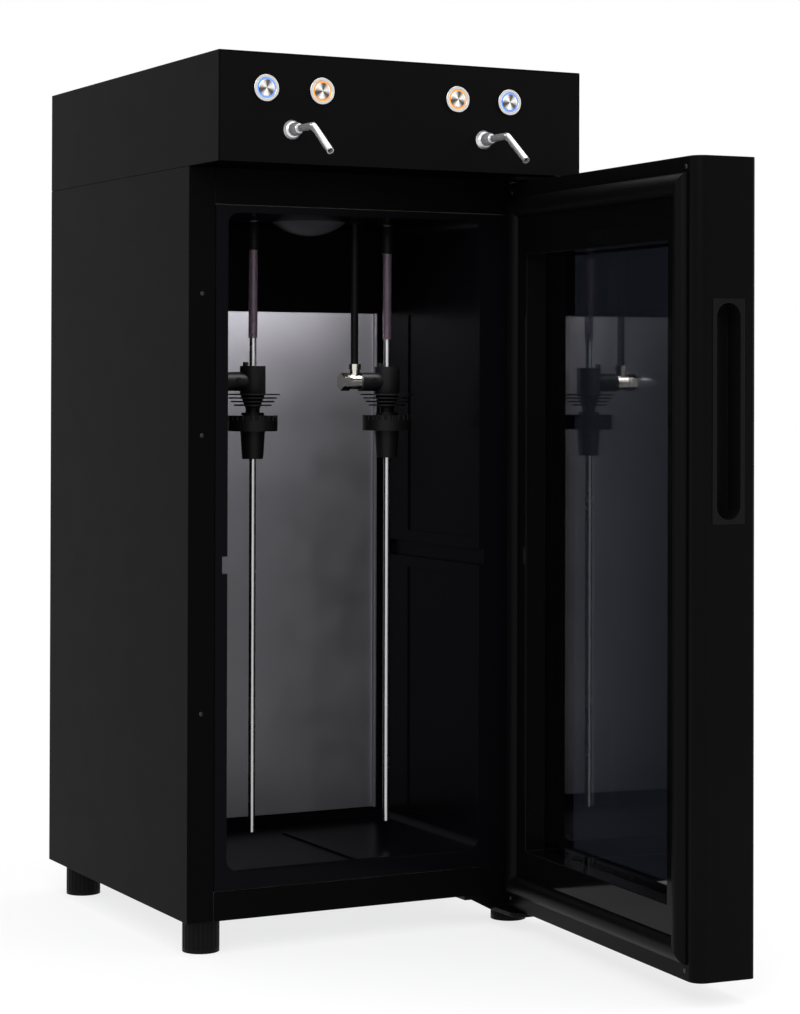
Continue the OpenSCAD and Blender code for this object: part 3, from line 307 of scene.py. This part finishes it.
pane_in = Surface("pane_clear", (0.42, 0.44, 0.48), 0.02, Transmission_Weight=1.0, IOR=1.5)
pane_out = Surface("pane_tinted", (0.022, 0.025, 0.032), 0.03, Transmission_Weight=0.9, IOR=1.5)
for pane in (pane_in, pane_out):
    pane.bump(pane.noise(14.0, detail=1.0), depth=0.0002, strength=0.05)


def turned_steel_painted_wedges():
    """Steel of the caps: turned steel with radial anisotropy, and painted highlight wedges round the middle
    in its colour.
    """
    metal = Surface("cap_steel", (0.58, 0.55, 0.51), 0.26, Metallic=1.0, Anisotropic=0.9)
    metal.cloudy(300.0, 0.08, 0.04)
    spun = metal.node("Tangent", direction_type="RADIAL", axis="Y")
    metal.link(spun.outputs["Tangent"], "Tangent")
    metal.bump(metal.noise(1500.0, detail=2.0), depth=0.00001, strength=0.3)
    place = metal.split(metal.node("TexCoord").outputs["Generated"])
    across, upward = [maths(metal.tree, "SUBTRACT", place[axis], 0.5) for axis in ("X", "Z")]
    angle = maths(metal.tree, "ARCTAN2", upward, across)
    wedges, turn = 3.0, 0.6
    painted_wedge_highlight = maths(metal.tree, "SINE", maths(metal.tree, "MULTIPLY_ADD", angle, wedges, turn))
    # painted highlight: light and dark wedges round the cap's middle are painted into the base colour
    dark, light = (0.10, 0.09, 0.085), (0.95, 0.92, 0.88)
    return metal.blend(metal.remap(painted_wedge_highlight, 0.0, 1.0, -0.9, 0.9), dark, light)


def ring_light():
    """Light of the buttons' rings: the outer pair glows blue, the inner pair amber."""
    glow = Surface("button_light", (0.05, 0.05, 0.05), 0.35, Emission_Strength=1.5)
    between_pairs = 74 * MM
    beside = maths(glow.tree, "SUBTRACT", glow.split(glow.coords)["X"], at(MID_X, 0, 0).x)
    outer = maths(glow.tree, "GREATER_THAN", maths(glow.tree, "ABSOLUTE", beside), between_pairs)
    amber, blue = (0.80, 0.26, 0.02), (0.09, 0.24, 0.85)
    return glow.blend(outer, amber, blue, "Emission Color")


cap_steel = turned_steel_painted_wedges()
ring_glow = ring_light()

DRESS = {
    paint: both("side_panel") + ("bottom_rail", "top_rail", "header_shell", "header_floor"),
    fascia: ("control_panel",),
    back_paint: ("back_panel",),
    hinge_paint: ("hinge_bracket_lower", "hinge_bracket_upper"),
    zinc: ("base_plate",),
    liner: ("cavity_liner",),
    foam: ("foam_insulation",),
    plate: ("cold_plate", "cold_block"),
    sink_metal: ("heat_sink", "gas_manifold"),
    ceramic: ("peltier_module",),
    fan_black: ("fan_frame", "fan_rotor"),
    supply_case: ("power_supply",),
    inlet_black: ("power_inlet",),
    rocker_black: ("power_switch",),
    board_green: ("control_board",),
    steel: ("button_housings",),
    cap_steel: CAPS,
    ring_glow: ("button_led_rings",),
    chrome: ("spouts", "spout_flanges"),
    valve_black: ("solenoid_valves",),
    nickel: ("gas_inlet",) + both("gas_elbow"),
    tube_clear: ("header_tubes",) + both("wine_tube"),
    lens_smoke: ("lamp_lens",),
    rubber: ("tube_grommets", "door_gasket"),
    head_black: both("head_body") + both("bottle_collar"),
    dip_steel: both("dip_tube"),
    hose_black: both("gas_tube"),
    nylon: ("hinge_bushes",),
    door_black: ("door_frame",),
    door_inner: ("door_liner",),
    pane_out: ("outer_glass",),
    pane_in: ("inner_glass",),
    handle_black: ("handle_insert",),
    foot_black: FEET,
}
for surface, names in DRESS.items():
    for name in names:
        slots = NODES[name].data.materials
        slots.clear()
        slots.append(surface.material)

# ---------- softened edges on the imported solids, by modifiers ----------

JOINED_WITHIN = 2e-6        # metres between corners that become one
FLAT_ANGLE = 0.5            # degrees between faces that become one
SHARP_ANGLE = 35            # degrees from which an edge is rounded
EDGES = {                   # width of the rounding in millimetres, and the nodes that have it
    0.3: both("head_body") + both("bottle_collar") + both("gas_elbow")
    + ("power_switch", "gas_inlet", "tube_grommets", "control_panel"),
    0.35: ("cold_plate", "power_inlet", "handle_insert", "spout_flanges",
           "hinge_bracket_lower", "hinge_bracket_upper"),
    0.4: FEET + ("outer_glass", "inner_glass"),
    0.5: both("side_panel") + ("header_shell", "header_floor", "bottom_rail", "top_rail", "back_panel"),
    0.6: ("door_liner",) + CAPS,
    0.8: ("door_frame", "cavity_liner"),
    0.9: ("button_housings",),
}


def smoothing_group():
    """Node group that drops stored normals, joins split corners and shades smooth."""
    group = bpy.data.node_groups.new("smooth_shading", "GeometryNodeTree")
    for direction in ("INPUT", "OUTPUT"):
        group.interface.new_socket("Geometry", in_out=direction, socket_type="NodeSocketGeometry")
    entry, drop, join, shade, leave = [group.nodes.new(kind) for kind in (
        "NodeGroupInput", "GeometryNodeRemoveAttribute", "GeometryNodeMergeByDistance",
        "GeometryNodeSetShadeSmooth", "NodeGroupOutput")]
    drop.inputs["Name"].default_value = "custom_normal"
    join.inputs["Distance"].default_value = JOINED_WITHIN
    for first, second in ((entry, drop), (drop, join), (join, shade), (shade, leave)):
        group.links.new(first.outputs[0], second.inputs[0])
    return group


SMOOTH = smoothing_group()


def soften(name, width):
    """Rounds the sharp edges of a node by width millimetres."""
    node = NODES[name]
    node.modifiers.new("smooth", "NODES").node_group = SMOOTH
    flat = node.modifiers.new("flat", "DECIMATE")
    flat.decimate_type = "DISSOLVE"
    flat.angle_limit = math.radians(FLAT_ANGLE)
    edge = node.modifiers.new("edge", "BEVEL")
    edge.width = width * MM
    edge.segments = 2
    edge.limit_method = "ANGLE"
    edge.angle_limit = math.radians(SHARP_ANGLE)
    edge.harden_normals = True


for width, names in EDGES.items():
    for name in names:
        soften(name, width)

# ---------- helpers for trim pieces ----------


def piece(name, mesh, surface, body, matrix, smooth=True):
    """Links a mesh as an object that rides on a body."""
    obj = bpy.data.objects.new(name, mesh)
    bpy.context.scene.collection.objects.link(obj)
    obj.matrix_world = matrix
    if not mesh.materials:
        mesh.materials.append(surface.material)
    if smooth:
        mesh.shade_smooth()
    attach(obj, body)
    return obj


def mesh_of(name, points, faces):
    """A mesh from points in its object's own units and faces of point numbers."""
    mesh = bpy.data.meshes.new(name)
    mesh.from_pydata([tuple(point) for point in points], [], faces)
    mesh.update()
    return mesh


def outward(mesh, sharp=lambda edge: False):
    """Turns a mesh's faces outward and marks the edges that sharp picks."""
    edit = bmesh.new()
    edit.from_mesh(mesh)
    bmesh.ops.recalc_face_normals(edit, faces=edit.faces)
    for edge in edit.edges:
        if sharp(edge):
            edge.smooth = False
    edit.to_mesh(mesh)
    edit.free()
    return mesh


def lathe(name, profile, sides=32):
    """Solid of revolution about z from (radius, height) points, in millimetres turned to metres."""
    points, faces = [], []
    for radius, height in profile:
        for k in range(sides):
            turn = 2 * math.pi * k / sides
            points.append((radius * math.cos(turn) * MM, radius * math.sin(turn) * MM, height * MM))
    for i in range(len(profile) - 1):
        for k in range(sides):
            a, b = i * sides + k, i * sides + (k + 1) % sides
            faces.append((a, b, b + sides, a + sides))
    faces.append(tuple(reversed(range(sides))))
    faces.append(tuple(range((len(profile) - 1) * sides, len(profile) * sides)))
    return outward(mesh_of(name, points, faces))


# ---------- screws ----------

HEAD_OUTLINE = ((1, 0), (1, 0.35), (0.93, 0.62), (0.72, 0.86), (0.4, 1))    # shares of radius and height
BLADE_LONG, BLADE_WIDE = 1.1, 0.24          # of the two blades that cut the cross, shares of the radius
BLADE_TALL = 0.9                            # share of the head's height, half of it above the head
FIRST_SPIN, SPIN_STEP = 11, 37              # degrees, so that neighbours are turned differently


def screw_mesh(name, radius, height):
    """Pan head with a cross recess, its seat at z 0, in millimetres turned to metres."""
    head = lathe(name + "_head", [(radius * out, height * up) for out, up in HEAD_OUTLINE])
    tool = bmesh.new()
    blade = (radius * BLADE_LONG * MM, radius * BLADE_WIDE * MM, height * BLADE_TALL * MM, 1)
    for turn in (0, 90):
        place = (Matrix.Translation((0, 0, height * MM)) @ Matrix.Rotation(math.radians(turn), 4, "Z")
                 @ Matrix.Diagonal(blade))
        bmesh.ops.create_cube(tool, size=1.0, matrix=place)
    cross = bpy.data.meshes.new(name + "_cross")
    tool.to_mesh(cross)
    tool.free()
    body = bpy.data.objects.new(name + "_body", head)
    cutter = bpy.data.objects.new(name + "_cutter", cross)
    for obj in (body, cutter):
        bpy.context.scene.collection.objects.link(obj)
    cut = body.modifiers.new("cut", "BOOLEAN")
    cut.operation = "DIFFERENCE"
    cut.solver = "EXACT"
    cut.object = cutter
    cut.use_self = True
    graph = bpy.context.evaluated_depsgraph_get()
    result = bpy.data.meshes.new_from_object(body.evaluated_get(graph))
    for obj in (body, cutter):
        bpy.data.objects.remove(obj)
    result.name = name
    result.materials.clear()
    result.materials.append(screw_black.material)
    return result


def screws(prefix, mesh, body, seats, towards, base=CABINET):
    """Copies of a screw at seats in millimetres, heads facing towards."""
    turn = Vector(towards).to_track_quat("Z", "Y").to_matrix().to_4x4()
    for i, seat in enumerate(seats):
        spin = Matrix.Rotation(math.radians(SPIN_STEP * i + FIRST_SPIN), 4, "Z")
        place = base @ Matrix.Translation(seat) @ turn @ spin @ Matrix.Scale(1 / MM, 4)
        piece(f"{prefix}_{i + 1}", mesh, screw_black, body, place, smooth=False)


def mirrored(x, y, heights):
    """Seats at these heights, first on the left and then on the right of the cabinet's middle."""
    return [(side * x, y, z) for side in (-1, 1) for z in heights]


FORWARD, BACKWARD, DOWN = (0, -1, 0), (0, 1, 0), (0, 0, -1)
small_screw = screw_mesh("screw_small", radius=1.6, height=0.8)
big_screw = screw_mesh("screw_big", radius=3.4, height=2.0)
screws("flange_screw", small_screw, "cabinet", mirrored(132, 0, (457, 359, 167)), FORWARD)
screws("back_screw", big_screw, "cabinet",
       mirrored(134, BODY_D, (40, 200, 370, 530)) + mirrored(60, BODY_D, (535,)), BACKWARD)
screws("header_screw", big_screw, "cabinet", mirrored(130, BODY_D, (556, 608)), BACKWARD)
screws("lower_hinge_screw", big_screw, "cabinet", [(86, y, 20) for y in (10, 30)], DOWN)
screws("upper_hinge_screw", big_screw, "cabinet",
       [(x, -10, 542.4) for x in (110, 132)], DOWN)

FACE_SCREW_X, FACE_SCREW_Z = 12.6, 6.8      # in from the door's sides, and from its top and bottom
screws("door_face_screw", small_screw, "door",
       [(x, DOOR_IN, z) for x in (DOOR_X[0] + FACE_SCREW_X, DOOR_X[1] - FACE_SCREW_X)
        for z in (DOOR_Z[0] + FACE_SCREW_Z, DOOR_Z[1] - FACE_SCREW_Z)],
       BACKWARD, DOOR)

# ---------- wine inside the clear tubes, and black covers that make the tubes' top stretch dark under the ceiling ---

WINE_R, WINE_ZS = 2.45, (438.4, 470.0, 511.0)
SLEEVE_BORE_R, SLEEVE_R = 3.3, 4.2
SLEEVE_LOW, SLEEVE_HIGH = 491.5, 511.4
SLEEVE_EDGE_R, SLEEVE_EDGE_Z = 0.2, 0.4     # worn edge at both ends
SLEEVE = [
    (SLEEVE_BORE_R, SLEEVE_LOW), (SLEEVE_R - SLEEVE_EDGE_R, SLEEVE_LOW),
    (SLEEVE_R, SLEEVE_LOW + SLEEVE_EDGE_Z), (SLEEVE_R, SLEEVE_HIGH - SLEEVE_EDGE_Z),
    (SLEEVE_R - SLEEVE_EDGE_R, SLEEVE_HIGH), (SLEEVE_BORE_R, SLEEVE_HIGH),
]

for side, head_x in zip(SIDES, HEAD_XS):
    axis = Matrix.Translation(at(head_x, HEAD_Y, 0))
    column = lathe("wine_column_mesh", [(WINE_R, z) for z in WINE_ZS], sides=24)
    piece(f"wine_column_{side}", column, wine, f"head_{side}", axis)
    # a black cover makes the clear tube's top stretch dark under the ceiling
    sleeve = lathe("sleeve_mesh", SLEEVE)
    piece(f"tube_sleeve_{side}", sleeve, hose_black, f"head_{side}", axis)

# ---------- gasket: a soft pillow carried round the door with mitred corners ----------

GASKET_IN, GASKET_W = 10.5, 14.5            # from the door's edge, and its own width
# Half of its outline: distance in from its own edge, and y on the closed door. The other half mirrors it.
GASKET_HALF = [(0, DOOR_IN), (0, -5.0), (0.4, -3.8), (1.2, -2.7), (2.4, -1.7), (3.8, -0.9), (5.5, -0.4),
               (GASKET_W / 2, -0.3)]
GASKET = GASKET_HALF + [(GASKET_W - m, y) for m, y in reversed(GASKET_HALF[:-1])]


def gasket_mesh():
    """The outline at the door's four corners, joined by straight faces."""
    count = len(GASKET)
    points, faces = [], []
    for corner, (right, top) in enumerate(((0, 0), (1, 0), (1, 1), (0, 1))):
        for m, y in GASKET:
            inward = GASKET_IN + m
            points.append((DOOR_X[right] + (-inward if right else inward), y,
                           DOOR_Z[top] + (-inward if top else inward)))
        a, b = corner * count, (corner + 1) % 4 * count
        faces += [(a + k, a + (k + 1) % count, b + (k + 1) % count, b + k) for k in range(count)]

    def mitre(edge):
        """True for the edges within one corner's outline."""
        return edge.verts[0].index // count == edge.verts[1].index // count

    return outward(mesh_of("gasket_mesh", points, faces), sharp=mitre)


gasket = piece("gasket_seal", gasket_mesh(), rubber, "door", DOOR)
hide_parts("door_gasket")

# ---------- floor: it keeps the object's shadow and fades to white away from it ----------

FLOOR_HALF = 9.0                            # metres
FLOOR_DROP = 0.0002                         # metres under the feet
NEAR, FAR = 0.3, 1.0                        # metres from the frame's origin, where the fade starts and ends
WHITE_NEAR, WHITE_FAR = 0.74, 1.0           # share of plain white there


def floor_material():
    """Pale floor that camera, mirrored and refracted rays see as more and more of a plain white."""
    ground = Surface("ground", (0.92, 0.92, 0.925), 0.75, Specular_IOR_Level=0.1)
    away = ground.node("VectorMath", operation="LENGTH")
    ground.tree.links.new(ground.coords, away.inputs[0])
    share = ground.remap(away.outputs["Value"], WHITE_NEAR, WHITE_FAR, NEAR, FAR)
    bright = ground.node("Emission")
    bright.inputs["Strength"].default_value = 1.0
    shown = mixed(ground.tree, maths(ground.tree, "MULTIPLY", plain_rays(ground.tree), share),
                  ground.shader.outputs["BSDF"], bright.outputs["Emission"])
    ground.tree.links.new(shown, ground.tree.nodes["Material Output"].inputs["Surface"])
    return ground.material


corners = [(FLOOR_HALF * x, FLOOR_HALF * y, 0) for x, y in ((-1, -1), (1, -1), (1, 1), (-1, 1))]
floor_mesh = mesh_of("floor_mesh", corners, [(0, 1, 2, 3)])
floor_mesh.materials.append(floor_material())
floor = bpy.data.objects.new("floor", floor_mesh)
floor.location.z = -FLOOR_DROP
bpy.context.scene.collection.objects.link(floor)

# ---------- world ----------

FILL = 0.8                                  # strength of the even light from all round

world = bpy.data.worlds.new("studio")
bpy.context.scene.world = world
world.use_nodes = True
sky = world.node_tree
sky.nodes.clear()


def even_light(strength):
    """White background of that strength."""
    background = sky.nodes.new("ShaderNodeBackground")
    background.inputs["Color"].default_value = (1, 1, 1, 1)
    background.inputs["Strength"].default_value = strength
    return background.outputs["Background"]


shown = mixed(sky, plain_rays(sky), even_light(FILL), even_light(1.0))
sky.links.new(shown, sky.nodes.new("ShaderNodeOutputWorld").inputs["Surface"])

# ---------- lamps ----------

MIDDLE = (0, 0, 300)                        # what the outer lamps aim at


def softbox(name, place, aim, size, watts):
    """Area lamp: place and aim in the cabinet's millimetres, size in metres."""
    lamp = bpy.data.lights.new(name, "AREA")
    lamp.shape = "RECTANGLE"
    lamp.size, lamp.size_y = size
    lamp.energy = watts
    obj = bpy.data.objects.new(name, lamp)
    bpy.context.scene.collection.objects.link(obj)
    obj.location = at(*place)
    obj.rotation_euler = (at(*aim) - obj.location).to_track_quat("-Z", "Y").to_euler()
    return obj


softbox("key", place=(-1300, -1500, 1500), aim=MIDDLE, size=(1.4, 1.4), watts=26)
softbox("top", place=(200, 0, 2200), aim=(0, 50, 300), size=(1.6, 1.6), watts=22)
softbox("side", place=(1700, -900, 800), aim=MIDDLE, size=(0.9, 1.6), watts=14)

# The lamp in the ceiling lights the cold plate and what hangs before it.
receivers = bpy.data.collections.new("lamp_receivers")
for name in ("cold_plate", "gas_elbow_right") + both("head_body") + both("dip_tube"):
    receivers.objects.link(NODES[name])
cabinet_lamp = softbox("cabinet_lamp", place=(MID_X + 25, 30, 500), aim=(MID_X - 20, 158, 300),
                       size=(0.14, 0.07), watts=0.6)
cabinet_lamp.visible_camera = False
cabinet_lamp.light_linking.receiver_collection = receivers
